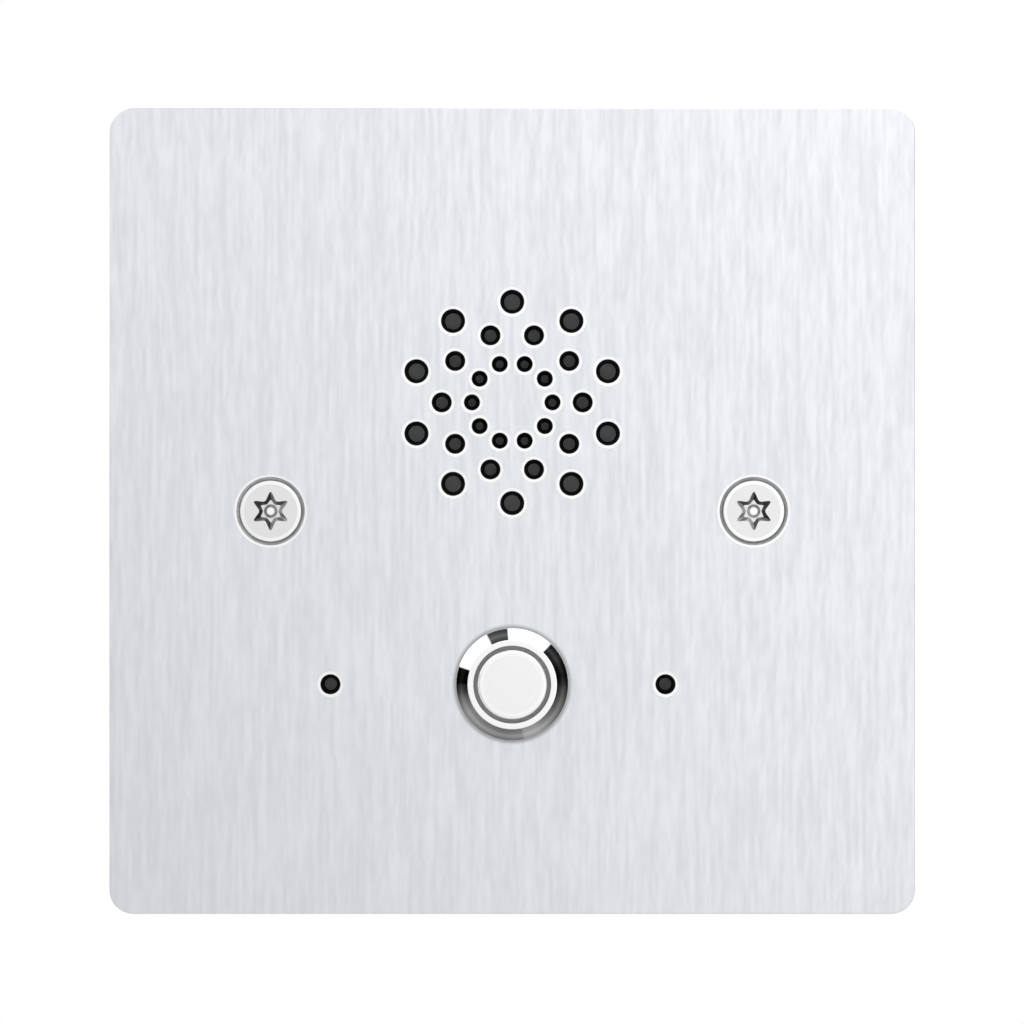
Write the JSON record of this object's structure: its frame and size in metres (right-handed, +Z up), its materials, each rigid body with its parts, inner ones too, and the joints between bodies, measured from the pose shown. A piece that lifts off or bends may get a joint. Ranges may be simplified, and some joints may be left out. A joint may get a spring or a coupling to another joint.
{
  "type": "emergency call panel",
  "caption": "Flush wall call panel with a square brushed faceplate, a ringed loudspeaker grille, a bevelled push button between microphone holes, and a moulded rear housing.",
  "frame": {"origin": "on the wall plane behind the faceplate's gasket, midway between the two fixing screws", "axes": "+X to the right and +Z up as the caller sees the panel, +Y into the wall"},
  "size_m": [0.1, 0.0363, 0.1],
  "materials": {
    "brushed_stainless": "fine vertical brushed grain",
    "polished_stainless": "turned and polished",
    "screw_stainless": "satin",
    "zinc_plated_steel": "bright zinc",
    "black_painted_steel": "satin black",
    "nickel_plated_magnet": "nickel plated",
    "spring_steel": "bright drawn wire",
    "black_rubber": "matt",
    "black_foam": "closed-cell foam",
    "black_cloth": "fine acoustic cloth",
    "black_paper": "pressed paper",
    "copper": "enamelled winding",
    "contact_brass": "plated contact brass",
    "black_plastic": "fine textured moulding",
    "white_plastic": "moulded",
    "grey_ribbon": "flat lead insulation",
    "board_green": "solder mask",
    "component_black": "moulded components",
    "aluminium_can": "drawn can"
  },
  "bodies": {
    "panel": {"amplifier": "component_black", "barrel_nut": "zinc_plated_steel", "button_body": "polished_stainless", "button_seal": "black_rubber", "capacitors": "aluminium_can", "circuit_board": "board_green", "clamp_nuts": "zinc_plated_steel", "clamp_studs": "zinc_plated_steel", "contact_pins": "contact_brass", "crystal": "aluminium_can", "faceplate": "brushed_stainless", "fixing_screws": "screw_stainless", "housing_screws": "zinc_plated_steel", "housing_seal": "black_rubber", "inductor": "component_black", "jack_contacts": "contact_brass", "jack_shield": "zinc_plated_steel", "lock_washer": "zinc_plated_steel", "magnet": "nickel_plated_magnet", "microphone_boots": "black_rubber", "microphone_capsules": "aluminium_can", "microphone_cloths": "black_cloth", "network_jack": "black_plastic", "network_transformer": "component_black", "pole_plate": "zinc_plated_steel", "processor": "component_black", "rear_housing": "black_plastic", "return_spring": "spring_steel", "speaker_basket": "black_painted_steel", "speaker_clamps": "zinc_plated_steel", "speaker_cloth": "black_cloth", "speaker_lead": "grey_ribbon", "speaker_seal": "black_foam", "speaker_surround": "black_cloth", "standoffs": "zinc_plated_steel", "switch_base": "black_plastic", "terminal_strip": "black_plastic", "terminal_tags": "contact_brass", "wall_gasket": "black_rubber", "yoke": "zinc_plated_steel"},
    "button": {"button_cap": "polished_stainless", "plunger_seal": "black_rubber", "button_plunger": "white_plastic", "moving_contact": "contact_brass"},
    "cone": {"speaker_cone": "black_paper", "dust_cap": "black_paper", "voice_coil": "copper"}
  },
  "joints": [
    {"name": "button_press", "type": "slide", "parent": "panel", "child": "button", "axis": [0, 1, 0], "range_m": [0, 0.0012], "stiffness_N_per_m": 1500, "springref_m": -0.0015, "deforming": ["return_spring"]},
    {"name": "cone_travel", "type": "slide", "parent": "panel", "child": "cone", "axis": [0, 1, 0], "range_m": [-0.0004, 0.0004], "stiffness_N_per_m": 3000, "deforming": ["speaker_surround"]}
  ]
}
